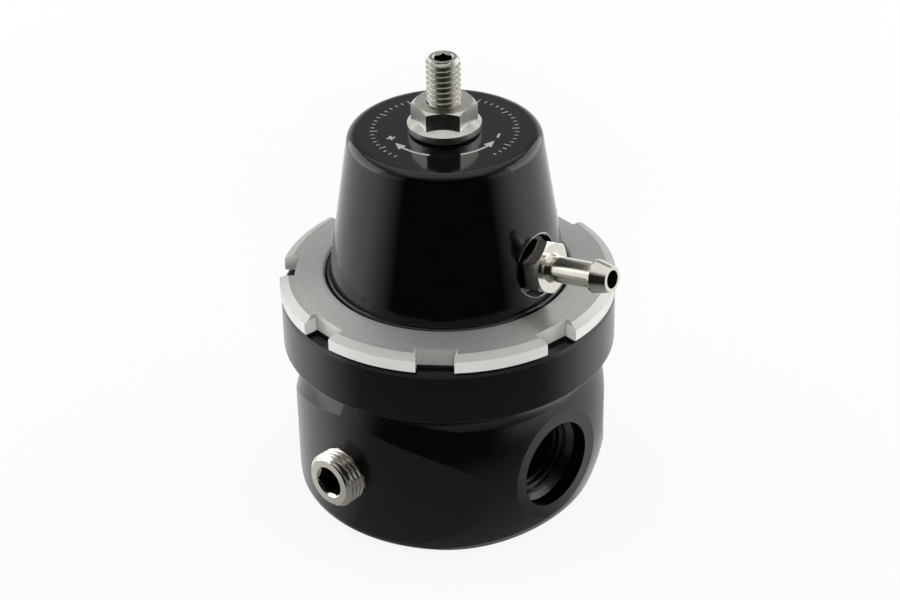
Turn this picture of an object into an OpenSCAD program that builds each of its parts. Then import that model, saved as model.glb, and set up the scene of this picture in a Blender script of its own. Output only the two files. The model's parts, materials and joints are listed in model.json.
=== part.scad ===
// Adjustable fuel pressure regulator with two side ports, a return port in the base,
// a gauge port with its plug, and a spring cap held down by a notched lock ring.
// Millimetres. The origin is the centre of the base, on the axis of the valve.
// +Z points up the adjuster screw, +X out of the inlet port, -Y out of the gauge port.

/* [Body] */
// Radius of the lower body
body_r = 28.2; // [27.6:0.1:29]
// Height of the body
body_h = 39.1; // [38:0.1:42]
// Radius of the round at the bottom edge
base_round = 2.7; // [1.5:0.1:4.5]
// How far the band round the top stands out from the lower body
band_step = 1.67; // [1.2:0.01:2.4]
// Height of the band
band_h = 9.7; // [8.5:0.1:10.5]
// Width of the bevel on the top edge of the band
band_bevel = 0.45; // [0.2:0.05:0.8]
// Radius of the round on the lower edge of the band
band_round = 0.5; // [0.2:0.05:0.8]
// Depth of the neck under the band
neck_step = 3.77; // [3.4:0.01:4.2]
// Radius of the fillet from the neck to the band
neck_fillet = 4.5; // [4:0.1:5]
// Radius of the crowned flanks that run to the side ports
crown_r = 28.6; // [28.2:0.1:29.4]
// How far each crown's centre lies behind the valve axis
crown_back = 1.9; // [1.5:0.1:2.3]
// How far the crown's centre circle lies from the port axis
crown_lift = 2.64; // [2.2:0.02:3]

/* [Ports] */
// Height of the side ports' axis
port_z = 12; // [11:0.1:13]
// Distance from the valve axis to each side port's face
port_face = 25.6; // [25.2:0.1:26]
// Radius of the port thread (9/16-18)
port_thread_r = 7.14; // [6.8:0.01:7.4]
// Radius of the smooth mouth for the fitting's O-ring
port_mouth_r = 8.1; // [7.8:0.05:8.6]
// Depth of the smooth mouth
port_mouth_depth = 2.7; // [2.2:0.1:3.2]
// Length of the cone from the mouth to the thread
port_cone = 0.8; // [0.4:0.1:1]
// Depth of the side ports
port_depth = 12; // [11:0.1:12.5]
// Depth of the return port in the base
return_depth = 10; // [9:0.1:10.5]
// Radius of the passage from the valve seat to the return port
return_pass_r = 3.4; // [2.6:0.1:4]
// Radius of the two feed holes up to the diaphragm
feed_r = 3; // [2:0.1:3.2]
// Distance of each feed hole from the valve axis
feed_x = 14.8; // [14:0.1:15]
// Circle of the two bracket holes in the base
bracket_pcd = 36; // [34:0.5:38]
// Angle of the line through the bracket holes
bracket_angle = 135; // [115:1:140]
// Radius of a bracket hole, drilled for an M5 thread
bracket_hole_r = 2.1; // [1.6:0.05:2.5]
// Depth of a bracket hole
bracket_hole_depth = 8; // [6:0.5:9]

/* [Gauge plug] */
// Height of the gauge port's axis
gauge_z = 13; // [12.5:0.1:13.5]
// Radius of the plug at its outer face (1/8 pipe thread)
plug_r = 5.15; // [4.9:0.05:5.4]
// Length of the plug
plug_len = 9.5; // [8.5:0.1:10.5]
// How far the plug stands out of the body
plug_proud = 3.6; // [2.5:0.1:4]
// Change of radius over a millimetre of length
plug_taper = 0.03125; // [0.02:0.00125:0.04]
// Bevel on the plug's face
plug_bevel = 0.8; // [0.4:0.05:1]
// Width across flats of the plug's socket
plug_socket_af = 5; // [4.5:0.1:5.5]
// Depth of the plug's socket
plug_socket_depth = 4.5; // [3.5:0.1:5]
// Depth of the countersink at the mouth of the socket
plug_sink = 0.5; // [0.2:0.05:0.8]
// Angle of the socket round the plug's axis
plug_angle = 30; // [0:1:60]
// Radius of the gauge passage
gauge_pass_r = 2; // [1.5:0.1:2.2]
// Distance of the upright gauge passage from the valve axis
gauge_pass_y = 15.8; // [15:0.1:16]

/* [Diaphragm chamber] */
// Depth from the top of the body to the ledge that carries the diaphragm
ledge_depth = 8.7; // [8.4:0.1:9.2]
// Radius of the fuel chamber
chamber_r = 18.5; // [18.2:0.1:19]
// Depth of the fuel chamber below the ledge
chamber_depth = 7.9; // [7.8:0.1:8.2]
// Step from the bore that centres the cap out to the lock ring's thread
ring_thread_step = 1.1; // [0.8:0.05:1.5]

/* [Lock ring] */
// How far the lock ring stands out from the band
ring_proud = 0.13; // [0:0.01:0.6]
// Thickness of the lock ring's flange at its bevel
ring_t = 3; // [2.6:0.05:3.6]
// Rise of the flange's top from the bevel to the bore
ring_rise = 0.65; // [0.3:0.05:0.9]
// Gap between the body and the lock ring's flange
ring_gap = 0.65; // [0.3:0.05:0.9]
// Radial width of the bevel on the top edge
ring_bevel_w = 1.6; // [1:0.1:2]
// Height of the bevel on the top edge
ring_bevel_h = 0.73; // [0.4:0.01:1]
// Bevel on the top edge of the ring's bore
ring_bore_bevel = 0.35; // [0.2:0.05:0.5]
// Break of the ring's other sharp edges
ring_edge = 0.2; // [0.1:0.05:0.3]
// Number of spanner notches
notch_count = 8; // [6:1:10]
// Width of a spanner notch
notch_w = 6.6; // [5:0.1:7.5]
// Depth of a spanner notch
notch_depth = 2.9; // [2:0.1:3.2]
// Angle of the first notch
notch_angle = -6.4; // [-22:0.1:22]
// Thickness of the slip ring under the lock ring
slip_t = 0.5; // [0.3:0.1:0.8]

/* [Cap] */
// Height of the cap from the diaphragm to its top
cap_h = 38.9; // [38:0.1:42]
// Thickness of the cap's clamped flange
cap_flange_t = 3.8; // [3.4:0.1:4]
// Width of the flange's shoulder under the lock ring
cap_shoulder = 3.2; // [2.8:0.1:3.6]
// Radius of the cap's side at its foot
cap_base_r = 21.05; // [20.7:0.05:21.4]
// Radius of the fillet at the foot
cap_fillet = 0.5; // [0.3:0.05:0.8]
// Radius where the cap's side would meet its top
cap_top_r = 16.85; // [16:0.05:17.6]
// Radius of the round at the top edge
cap_round = 1.75; // [1:0.05:2.4]
// Wall of the cap
cap_wall = 3.8; // [3.4:0.1:4.2]
// Thickness of the cap's threaded roof
cap_roof = 8; // [7:0.1:9]

/* [Adjuster] */
// Radius of the adjuster screw (M6)
screw_r = 3; // [2.5:0.1:3.2]
// Length of the adjuster screw
screw_len = 25; // [24:0.5:28]
// How far the screw stands above the cap
screw_proud = 13.9; // [12.5:0.1:15]
// Bevel at the ends of the screw
screw_bevel = 0.55; // [0.3:0.05:0.8]
// Width across flats of the screw's socket
screw_socket_af = 3; // [2.5:0.1:3.4]
// Depth of the screw's socket
screw_socket_depth = 3.5; // [2.5:0.1:4]
// Depth of the countersink at the mouth of the socket
screw_sink = 0.35; // [0.1:0.05:0.5]
// Height of the lock nut
nut_h = 5.5; // [5:0.1:6]
// Width across flats of the lock nut
nut_af = 10; // [9.5:0.1:11]
// Radius of the lock nut's flange
nut_flange_r = 6.45; // [6.3:0.05:7]
// Thickness of the flange at its rim
nut_rim_t = 1.6; // [1.2:0.1:2]
// Radius of the round under the rim
nut_round = 0.7; // [0.3:0.05:1]
// Height of the cone from the rim to the nut's hexagon
nut_cone_h = 0.9; // [0.6:0.1:1.2]
// Angle of a corner of the lock nut
nut_angle = -19.5; // [-30:0.5:30]
// Width of the seal in the lock nut's underside
nut_seal_w = 1.3; // [1:0.1:1.5]
// Thickness of the seal
nut_seal_t = 0.8; // [0.5:0.1:1.2]

/* [Hose barb] */
// Height at which the barb's axis crosses the valve axis
barb_z = 47; // [46.4:0.1:48.4]
// Angle of the barb round the cap
barb_angle = 6; // [-45:1:45]
// Depth of the flat pocket cut in the cap for the barb
barb_pocket_depth = 1.6; // [1.2:0.05:2]
// Gap round the corners of the barb's hexagon in the pocket
barb_pocket_gap = 0.6; // [0.3:0.05:1]
// Width across flats of the barb's hexagon
barb_hex_af = 8.7; // [8.4:0.1:9.4]
// Thickness of the hexagon
barb_hex_t = 4.35; // [4:0.05:5]
// Length of the hose spigot from the hexagon to its tip
barb_len = 12.35; // [11:0.05:14]
// Radius of the spigot
barb_tube_r = 2.3; // [2:0.05:2.5]
// Radius of the barb's crest
barb_crest_r = 3; // [2.8:0.05:3.4]
// Radius of the barb's tip
barb_tip_r = 2.22; // [2:0.02:2.4]
// Length of the land at the barb's crest
barb_land = 0.3; // [0.1:0.05:0.6]
// Length of the barb's cone with its land
barb_cone = 3.2; // [2.6:0.1:4]
// Radius of the barb's bore
barb_bore_r = 1.6; // [1.2:0.05:1.7]
// Radius of the barb's threaded stud (M5)
barb_stud_r = 2.5; // [2.3:0.05:2.7]
// Length of the threaded stud
barb_stud_len = 4; // [3.5:0.1:5]

/* [Diaphragm] */
// Thickness of the diaphragm
diaphragm_t = 1.2; // [1:0.1:1.4]
// Gap between the rolled convolution and the cap's wall
roll_gap = 0.15; // [0.1:0.05:0.4]
// Half width of the rolled convolution
roll_w = 1.8; // [1.6:0.05:1.9]
// Gap between the rolled convolution and the plates that grip the diaphragm
plate_gap = 0.9; // [0.6:0.05:1.2]
// Thickness of the lower plate
lower_plate_t = 1.8; // [1.6:0.1:2]
// Thickness of the upper plate
upper_plate_t = 1.6; // [1.4:0.1:2]
// Height of the rim that centres the spring on the upper plate
plate_rim_h = 1.6; // [1:0.1:2]
// Width of that rim
plate_rim_w = 1; // [0.8:0.05:1.3]
// Radius of the lower plate's threaded stem (M6)
stem_r = 3; // [2.5:0.1:3.2]
// How far the stem stands out of its nut
stem_proud = 1; // [0.5:0.1:2]
// Height of the nut on the stem
stem_nut_h = 3; // [2.5:0.1:3.5]
// Width across flats of the nut on the stem
stem_nut_af = 10; // [9:0.5:11]

/* [Valve] */
// Radius of the valve ball
ball_r = 3.175; // [3:0.025:3.3]
// Radius of the hole through the valve seat
seat_bore_r = 2.4; // [2:0.05:2.5]
// Radius of the valve seat's land
seat_land_r = 3.3; // [3.1:0.05:3.5]
// Radius of the valve seat's flange
seat_flange_r = 6; // [5.6:0.1:6.5]
// Thickness of the valve seat's flange
seat_flange_t = 3; // [2.5:0.1:3.5]
// Height of the valve seat above the chamber floor
seat_nose_h = 2.1; // [1.9:0.05:2.2]
// Radius of the valve seat's shank
seat_shank_r = 4.6; // [4.3:0.05:4.9]
// Length of the valve seat's shank
seat_shank_len = 5; // [4.5:0.1:5.2]
// Thickness of the seat's O-ring
seat_ring_t = 1.3; // [1:0.05:1.5]
// Radius of the boss that holds the ball
boss_r = 5.4; // [5.2:0.1:5.8]
// Thickness of the ring that keeps the ball in
retainer_t = 0.6; // [0.4:0.05:0.7]
// Wall of the boss round that ring
retainer_wall = 0.8; // [0.6:0.05:1]

/* [Main spring] */
// Diameter of the spring wire
wire_d = 2.4; // [2:0.1:2.6]
// Number of turns, with one closed turn at each end
spring_turns = 5.5; // [5:0.5:6]
// Gap between a closed turn and the next one
coil_gap = 0.05; // [0.03:0.01:0.1]
// Thickness of the spring's top seat
top_seat_t = 3; // [2.5:0.1:3.5]
// Length of the pilot that centres the spring
top_seat_pilot = 2.5; // [2:0.1:3]
// Radius of the ball between the screw and the top seat
pivot_r = 2.5; // [2:0.1:2.8]
// How deep that ball sits in the top seat
pivot_sink = 1.5; // [1:0.1:1.8]

/* [Clearances] */
// Radial play of a screw in its thread
thread_play = 0.05; // [0.02:0.01:0.08]
// Play of pieces that are pressed or dropped into place
fit_play = 0.03; // [0.02:0.01:0.06]
// Play between the cap and the ring that turns round it
ring_play = 0.4; // [0.2:0.05:0.6]
// Play round the clamped pieces and the spring's seats
seat_play = 0.15; // [0.1:0.05:0.3]

/* [Hidden] */

$fn = 96;
// How far a cut runs past the face that it opens
past = 1;
// Drilled holes end in a cone with this ratio of length to radius
drill_tip = 0.6;
// Angle of the cone that turns off a hexagon's corners
hex_turn = 30;
// Ratio of a hexagon's width across corners to its width across flats
hex_to_corner = 1 / cos(30);

// Outer radii, from the lower body out
band_r = body_r + band_step;
neck_r = band_r - neck_step;
ring_r = band_r + ring_proud;
notch_floor = ring_r - notch_depth;
fillet_r = cap_base_r + cap_fillet;
ring_bore_r = fillet_r + ring_play;
clamped_r = fillet_r + cap_shoulder;
clamp_r = clamped_r + seat_play;
ring_thread_r = clamp_r + ring_thread_step;

// Heights, from the base up
band_z = body_h - band_h;
neck_z = band_z - sqrt(pow(neck_fillet, 2) - pow(neck_fillet - neck_step + band_round, 2));
ledge_z = body_h - ledge_depth;
floor_z = ledge_z - chamber_depth;
cap_z = ledge_z + diaphragm_t;
flange_z = cap_z + cap_flange_t;
skirt_z = flange_z + slip_t;
ring_z = body_h + ring_gap;
ring_top = ring_z + ring_t;
bore_top = ring_top + ring_rise;
fillet_z = bore_top - ring_play;
cap_top = cap_z + cap_h;
cone_z = fillet_z + cap_fillet;
roof_z = cap_top - cap_roof;
screw_top = cap_top + screw_proud;
screw_z = screw_top - screw_len;

// Slope of the cap's side, and the cap's radius at a height on it
cap_slope = atan((cap_base_r - cap_top_r) / (cap_top - cone_z));
function cap_r_at(z) = cap_top_r + (cap_top - z) * tan(cap_slope);
round_x = cap_r_at(cap_top - cap_round) - cap_round / cos(cap_slope);

// Radii inside the cap, from its wall in to the spring
wall_x = cap_wall / cos(cap_slope);
cavity_r = cap_base_r - wall_x;
roll_r = cavity_r - roll_gap - roll_w;
plate_r = roll_r - roll_w - plate_gap;
rim_in_r = plate_r - plate_rim_w;
spring_out_r = rim_in_r - seat_play;
spring_r = spring_out_r - wire_d / 2;
spring_in_r = spring_r - wire_d / 2;

// Distances along the barb's axis, which leaves the cap square to its side
barb_seat = cap_r_at(barb_z) * cos(cap_slope) - barb_pocket_depth;
barb_neck = barb_seat + barb_hex_t;
barb_tip = barb_neck + barb_len;
barb_crest = barb_tip - barb_cone;
barb_pocket_r = barb_hex_af * hex_to_corner / 2 + barb_pocket_gap;

// Distances along the gauge port's axis
plug_face = body_r + plug_proud;
plug_end = plug_face - plug_len;

// Valve, at rest on its seat
seat_top = floor_z + seat_nose_h;
seat_z = floor_z - seat_flange_t;
shank_z = seat_z - seat_shank_len;
ball_z = seat_top + sqrt(pow(ball_r, 2) - pow(seat_bore_r, 2)) + fit_play;
plate_z = ledge_z - lower_plate_t;
retainer_drop = sqrt(pow(ball_r, 2) - pow((seat_bore_r + ball_r) / 2 + fit_play, 2));
retainer_z = ball_z - retainer_drop - retainer_t / 2;
retainer_in_r = (seat_bore_r + ball_r) / 2 + 2 * fit_play + retainer_t / 2;
retainer_r = boss_r - retainer_wall;

// Spring and its seats
spring_z = cap_z + upper_plate_t;
pivot_z = screw_z - pivot_r - fit_play;
top_seat_top = pivot_z - pivot_r + pivot_sink;
top_seat_z = top_seat_top - top_seat_t;
spring_len = top_seat_z - spring_z;

// What a round takes off a square corner at the origin, with the solid below and to the left
module corner(r) {
    translate([-r, -r]) difference() {
        square(r + past);
        circle(r);
    }
}

// A port cut with its mouth at the origin, open towards +Z
module port_cut(depth) {
    translate([0, 0, -port_mouth_depth]) cylinder(r = port_mouth_r, h = port_mouth_depth + past);
    translate([0, 0, -port_mouth_depth - port_cone])
        cylinder(r1 = port_thread_r, r2 = port_mouth_r, h = port_cone);
    translate([0, 0, -depth]) cylinder(r = port_thread_r, h = depth);
    translate([0, 0, -depth - drill_tip * port_thread_r])
        cylinder(r1 = 0, r2 = port_thread_r, h = drill_tip * port_thread_r);
}

// A hexagon by its width across flats, with a corner on +X
module hexagon(af, h) {
    cylinder(d = af * hex_to_corner, h = h, $fn = 6);
}

// A hexagon with its corners turned off at the top
module turned_hexagon(af, h) {
    corner_r = af * hex_to_corner / 2;
    intersection() {
        hexagon(af, h);
        cylinder(r1 = af / 2 + h / tan(hex_turn), r2 = af / 2, h = h);
        translate([0, 0, -past]) cylinder(r = corner_r + past, h = h + 2 * past);
    }
}

// A hexagon socket with a countersunk mouth at the origin, open towards +Z
module socket_cut(af, depth, sink) {
    translate([0, 0, -depth]) hexagon(af, depth + past);
    translate([0, 0, -sink]) cylinder(r1 = af / 2, r2 = af / 2 + sink + past, h = sink + past);
}

// Places children along the barb's axis, with +Z pointing out of the cap
module along_barb() {
    rotate(barb_angle) translate([0, 0, barb_z]) rotate([0, 90 - cap_slope, 0]) children();
}

// Places children along the gauge port's axis, with +Z pointing out of the body
module along_gauge() {
    translate([0, 0, gauge_z]) rotate([90, 0, 0]) children();
}

// Body

// The flanks are crowned about the side ports' axis, and end flat at the port faces
module crown() {
    translate([0, 0, port_z]) rotate([0, 90, 0]) rotate_extrude() intersection() {
        translate([crown_lift, -crown_back]) circle(crown_r);
        translate([crown_lift, crown_back]) circle(crown_r);
        translate([0, -port_face]) square([crown_r + crown_lift, 2 * port_face]);
    }
}

module lower_body() {
    intersection() {
        rotate_extrude() difference() {
            square([body_r, band_z]);
            translate([body_r, 0]) mirror([0, 1]) corner(base_round);
        }
        crown();
    }
}

module neck_and_band() {
    neck_foot = (neck_r - chamber_r) / 3;
    rotate_extrude() {
        difference() {
            polygon([[0, neck_z - neck_foot], [neck_r - neck_foot, neck_z - neck_foot], [neck_r, neck_z],
                     [band_r - band_round, neck_z], [band_r - band_round, band_z], [0, band_z]]);
            translate([neck_r + neck_fillet, neck_z]) circle(neck_fillet);
        }
        difference() {
            translate([0, band_z]) square([band_r, band_h]);
            translate([band_r, band_z]) mirror([0, 1]) corner(band_round);
            polygon([[band_r, body_h - band_bevel], [band_r + past, body_h - band_bevel],
                     [band_r + past, body_h + past], [band_r - band_bevel, body_h + past],
                     [band_r - band_bevel, body_h]]);
        }
    }
}

module body_bores() {
    translate([0, 0, skirt_z - ring_edge]) cylinder(r = ring_thread_r, h = body_h);
    translate([0, 0, ledge_z]) cylinder(r = clamp_r, h = body_h);
    translate([0, 0, floor_z]) cylinder(r = chamber_r, h = chamber_depth + past);
    translate([0, 0, seat_z]) cylinder(r = seat_flange_r + fit_play, h = seat_flange_t + past);
    translate([0, 0, shank_z]) cylinder(r = seat_shank_r + fit_play, h = seat_shank_len + past);
    translate([0, 0, return_depth]) cylinder(r = return_pass_r, h = shank_z - return_depth + past);
    rotate([180, 0, 0]) port_cut(return_depth);
    for (side = [-1, 1]) {
        translate([side * port_face, 0, port_z]) rotate([0, side * 90, 0]) port_cut(port_depth);
        translate([side * feed_x, 0, port_z]) cylinder(r = feed_r, h = floor_z - port_z + past);
        rotate(bracket_angle) translate([side * bracket_pcd / 2, 0, -past])
            cylinder(r = bracket_hole_r, h = bracket_hole_depth + past);
    }
}

module gauge_bore() {
    bore_in = plug_end - past;
    bore_out = plug_face + past;
    along_gauge() {
        translate([0, 0, bore_in])
            cylinder(r1 = plug_r_at(bore_in) + thread_play, r2 = plug_r_at(bore_out) + thread_play,
                     h = bore_out - bore_in);
        translate([0, 0, gauge_pass_y]) cylinder(r = gauge_pass_r, h = bore_in - gauge_pass_y + past);
    }
    translate([0, -gauge_pass_y, gauge_z]) cylinder(r = gauge_pass_r, h = floor_z - gauge_z + past);
}

module body() {
    color("#1b1b1d") difference() {
        union() {
            lower_body();
            neck_and_band();
        }
        body_bores();
        gauge_bore();
    }
}

// Lock ring and the slip ring under it

module notch() {
    translate([notch_floor, 0, ring_z]) rotate([90, 0, 90]) linear_extrude(notch_depth + past)
        polygon([[-notch_w / 2, -past], [notch_w / 2, -past], [notch_w / 2, ring_t - 2 * ring_edge],
                 [notch_w / 2 + 2 * ring_edge + past, ring_t + past],
                 [-notch_w / 2 - 2 * ring_edge - past, ring_t + past],
                 [-notch_w / 2, ring_t - 2 * ring_edge]]);
}

module lock_ring() {
    skirt_r = ring_thread_r - thread_play;
    color("#b9bbbb") difference() {
        rotate_extrude() polygon([
            [ring_bore_r, skirt_z], [skirt_r - ring_edge, skirt_z], [skirt_r, skirt_z + ring_edge],
            [skirt_r, ring_z], [ring_r - ring_edge, ring_z], [ring_r, ring_z + ring_edge],
            [ring_r, ring_top - ring_bevel_h], [ring_r - ring_bevel_w, ring_top],
            [ring_bore_r + ring_bore_bevel, bore_top], [ring_bore_r, bore_top - ring_bore_bevel]]);
        for (i = [0 : notch_count - 1]) rotate(notch_angle + i * 360 / notch_count) notch();
    }
}

module slip_ring() {
    color("#e8e6df") translate([0, 0, flange_z]) difference() {
        cylinder(r = clamped_r, h = slip_t);
        translate([0, 0, -past]) cylinder(r = ring_bore_r, h = slip_t + 2 * past);
    }
}

// Cap

module cap_outline() {
    difference() {
        polygon([[0, cap_z], [clamped_r, cap_z], [clamped_r, flange_z], [fillet_r, flange_z],
                 [fillet_r, cone_z], [cap_base_r, cone_z],
                 [round_x + cap_round * cos(cap_slope), cap_top - cap_round * (1 - sin(cap_slope))],
                 [round_x, cap_top], [0, cap_top]]);
        translate([fillet_r, cone_z]) circle(cap_fillet);
    }
    translate([round_x, cap_top - cap_round]) circle(cap_round);
}

module cap_cavity() {
    polygon([[0, cap_z - past], [cavity_r, cap_z - past], [cavity_r, cone_z],
             [cap_r_at(roof_z) - wall_x, roof_z], [0, roof_z]]);
}

module cap() {
    color("#141416") difference() {
        rotate_extrude() cap_outline();
        rotate_extrude() cap_cavity();
        translate([0, 0, roof_z - past]) cylinder(r = screw_r + thread_play, h = cap_roof + 2 * past);
        along_barb() {
            translate([0, 0, barb_seat]) cylinder(r = barb_pocket_r, h = barb_hex_t);
            translate([0, 0, barb_seat - cap_wall - past])
                cylinder(r = barb_stud_r + thread_play, h = cap_wall + 2 * past);
        }
    }
}

// Fittings

module hose_barb() {
    step = (barb_crest_r - barb_tube_r) / 2;
    collar_r = barb_tube_r + step;
    color("#c9c9c4") along_barb() difference() {
        union() {
            translate([0, 0, barb_seat]) turned_hexagon(barb_hex_af, barb_hex_t);
            rotate_extrude() polygon([
                [0, barb_seat - barb_stud_len], [barb_stud_r - step, barb_seat - barb_stud_len],
                [barb_stud_r, barb_seat - barb_stud_len + step], [barb_stud_r, barb_seat + step],
                [collar_r, barb_neck - step], [collar_r, barb_neck], [barb_tube_r, barb_neck + 2 * step],
                [barb_tube_r, barb_crest - step], [barb_crest_r, barb_crest],
                [barb_crest_r, barb_crest + barb_land], [barb_tip_r, barb_tip], [0, barb_tip]]);
        }
        translate([0, 0, barb_seat - barb_stud_len - past])
            cylinder(r = barb_bore_r, h = barb_tip - barb_seat + barb_stud_len + 2 * past);
    }
}

function plug_r_at(distance) = plug_r - (plug_face - distance) * plug_taper;

module gauge_plug() {
    color("#c4c2bb") along_gauge() difference() {
        rotate_extrude() polygon([
            [0, plug_end], [plug_r_at(plug_end) - plug_bevel, plug_end],
            [plug_r_at(plug_end + plug_bevel), plug_end + plug_bevel],
            [plug_r_at(plug_face - plug_bevel), plug_face - plug_bevel],
            [plug_r - plug_bevel, plug_face], [0, plug_face]]);
        translate([0, 0, plug_face]) rotate(plug_angle)
            socket_cut(plug_socket_af, plug_socket_depth, plug_sink);
    }
}

// Adjuster

module adjuster_screw() {
    color("#c6c4be") difference() {
        rotate_extrude() polygon([
            [0, screw_z], [screw_r - screw_bevel, screw_z], [screw_r, screw_z + screw_bevel],
            [screw_r, screw_top - screw_bevel], [screw_r - screw_bevel, screw_top], [0, screw_top]]);
        translate([0, 0, screw_top]) socket_cut(screw_socket_af, screw_socket_depth, screw_sink);
    }
}

module lock_nut() {
    bore_r = screw_r + thread_play;
    seal_r = bore_r + nut_seal_w;
    color("#c6c4be") translate([0, 0, cap_top + fit_play]) difference() {
        union() {
            rotate_extrude() difference() {
                polygon([[0, 0], [nut_flange_r, 0], [nut_flange_r, nut_rim_t],
                         [nut_af / 2, nut_rim_t + nut_cone_h], [0, nut_rim_t + nut_cone_h]]);
                translate([nut_flange_r, 0]) mirror([0, 1]) corner(nut_round);
            }
            rotate(nut_angle) translate([0, 0, nut_rim_t]) turned_hexagon(nut_af, nut_h - nut_rim_t);
        }
        translate([0, 0, -past]) cylinder(r = bore_r, h = nut_h + 2 * past);
        translate([0, 0, -past]) cylinder(r = seal_r, h = nut_seal_t + past);
    }
}

module nut_seal() {
    bore_r = screw_r + thread_play;
    color("#f0eee6") translate([0, 0, cap_top + fit_play]) difference() {
        cylinder(r = bore_r + nut_seal_w - fit_play, h = nut_seal_t - fit_play);
        translate([0, 0, -past]) cylinder(r = bore_r, h = nut_seal_t + 2 * past);
    }
}

// Diaphragm and the plates that grip it

module diaphragm() {
    inner_roll = roll_w - diaphragm_t;
    color("#2c2a28") rotate_extrude() {
        translate([stem_r + fit_play, ledge_z])
            square([roll_r - inner_roll - stem_r - fit_play, diaphragm_t]);
        translate([roll_r + inner_roll, ledge_z]) square([clamped_r - roll_r - inner_roll, diaphragm_t]);
        intersection() {
            translate([roll_r, ledge_z]) difference() {
                circle(roll_w);
                circle(inner_roll);
            }
            translate([roll_r - roll_w, ledge_z]) square([2 * roll_w, roll_w]);
        }
    }
}

module upper_plate() {
    color("#a8aaac") translate([0, 0, cap_z]) rotate_extrude() polygon([
        [stem_r + fit_play, 0], [plate_r, 0], [plate_r, upper_plate_t + plate_rim_h],
        [rim_in_r, upper_plate_t + plate_rim_h], [rim_in_r, upper_plate_t],
        [stem_r + fit_play, upper_plate_t]]);
}

module lower_plate() {
    stem_top = cap_z + upper_plate_t + stem_nut_h + stem_proud;
    color("#a8aaac") difference() {
        union() {
            translate([0, 0, plate_z]) cylinder(r = plate_r, h = lower_plate_t);
            translate([0, 0, retainer_z]) cylinder(r = boss_r, h = ledge_z - retainer_z);
            translate([0, 0, plate_z]) cylinder(r = stem_r, h = stem_top - plate_z);
        }
        translate([0, 0, ball_z]) sphere(ball_r + fit_play);
        translate([0, 0, retainer_z - past]) cylinder(r = ball_r + fit_play, h = ball_z - retainer_z + past);
        translate([0, 0, retainer_z - past]) cylinder(r = retainer_r + fit_play, h = retainer_t + past);
    }
}

module stem_nut() {
    color("#c6c4be") translate([0, 0, cap_z + upper_plate_t]) difference() {
        turned_hexagon(stem_nut_af, stem_nut_h);
        translate([0, 0, -past]) cylinder(r = stem_r + fit_play, h = stem_nut_h + 2 * past);
    }
}

// Valve

module valve_ball() {
    color("#d8d8d8") translate([0, 0, ball_z]) sphere(ball_r);
}

module ball_retainer() {
    color("#b08d4f") translate([0, 0, retainer_z]) difference() {
        cylinder(r = retainer_r, h = retainer_t - fit_play);
        translate([0, 0, -past]) cylinder(r = retainer_in_r, h = retainer_t + 2 * past);
    }
}

module valve_seat() {
    groove_z = shank_z + seat_shank_len / 2;
    color("#b08d4f") difference() {
        union() {
            translate([0, 0, shank_z + fit_play]) cylinder(r = seat_shank_r, h = seat_shank_len + past);
            translate([0, 0, seat_z + fit_play]) cylinder(r = seat_flange_r, h = seat_flange_t - fit_play);
            translate([0, 0, floor_z - fit_play])
                cylinder(r1 = seat_shank_r, r2 = seat_land_r, h = seat_nose_h + fit_play);
        }
        translate([0, 0, shank_z - past]) cylinder(r = seat_bore_r, h = seat_top - shank_z + 2 * past);
        translate([0, 0, groove_z]) rotate_extrude()
            translate([seat_shank_r - seat_ring_t, -seat_ring_t / 2 - fit_play])
                square([seat_ring_t + past, seat_ring_t + 2 * fit_play]);
    }
}

module seat_o_ring() {
    color("#26221f") translate([0, 0, shank_z + seat_shank_len / 2]) rotate_extrude()
        translate([seat_shank_r - seat_ring_t / 2 + fit_play / 2, 0]) circle(d = seat_ring_t - fit_play);
}

// Main spring, its top seat and the ball that the screw turns on

wire_sides = 8;
steps_per_turn = 20;
spring_steps = spring_turns * steps_per_turn;
closed_pitch = wire_d + coil_gap;
open_pitch = (spring_len - wire_d - 2 * closed_pitch) / (spring_turns - 2);

// Height of the wire's centre after a number of turns
function wire_z(turns) =
    spring_z + wire_d / 2 + closed_pitch * min(turns, 1) + closed_pitch * max(turns - spring_turns + 1, 0)
    + open_pitch * min(max(turns - 1, 0), spring_turns - 2);
function wire_point(step, side) =
    let (turn = 360 * step / steps_per_turn, around = 360 * side / wire_sides,
         r = spring_r + wire_d / 2 * cos(around))
    [r * cos(turn), r * sin(turn), wire_z(step / steps_per_turn) + wire_d / 2 * sin(around)];

module main_spring() {
    points = [for (step = [0 : spring_steps]) for (side = [0 : wire_sides - 1]) wire_point(step, side)];
    first_end = [for (side = [0 : wire_sides - 1]) side];
    last_end = [for (side = [wire_sides - 1 : -1 : 0]) spring_steps * wire_sides + side];
    skin = [for (step = [0 : spring_steps - 1]) for (side = [0 : wire_sides - 1])
            let (a = step * wire_sides + side, b = step * wire_sides + (side + 1) % wire_sides)
            each [[a, a + wire_sides, b], [b, a + wire_sides, b + wire_sides]]];
    color("#5b5e63") polyhedron(points, concat([first_end], skin, [last_end]));
}

module spring_top_seat() {
    color("#a8aaac") difference() {
        union() {
            translate([0, 0, top_seat_z]) cylinder(r = spring_out_r, h = top_seat_t);
            translate([0, 0, top_seat_z - top_seat_pilot])
                cylinder(r = spring_in_r - 2 * seat_play, h = top_seat_pilot + top_seat_t);
        }
        translate([0, 0, pivot_z]) sphere(pivot_r + fit_play / 2);
    }
}

module pivot_ball() {
    color("#d8d8d8") translate([0, 0, pivot_z]) sphere(pivot_r);
}

body();
lock_ring();
slip_ring();
cap();
hose_barb();
gauge_plug();
adjuster_screw();
lock_nut();
nut_seal();
diaphragm();
upper_plate();
lower_plate();
stem_nut();
valve_ball();
ball_retainer();
valve_seat();
seat_o_ring();
main_spring();
spring_top_seat();
pivot_ball();
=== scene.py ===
import json
import math

import bmesh
import bpy
from mathutils import Matrix, Vector
from mathutils.bvhtree import BVHTree


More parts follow.
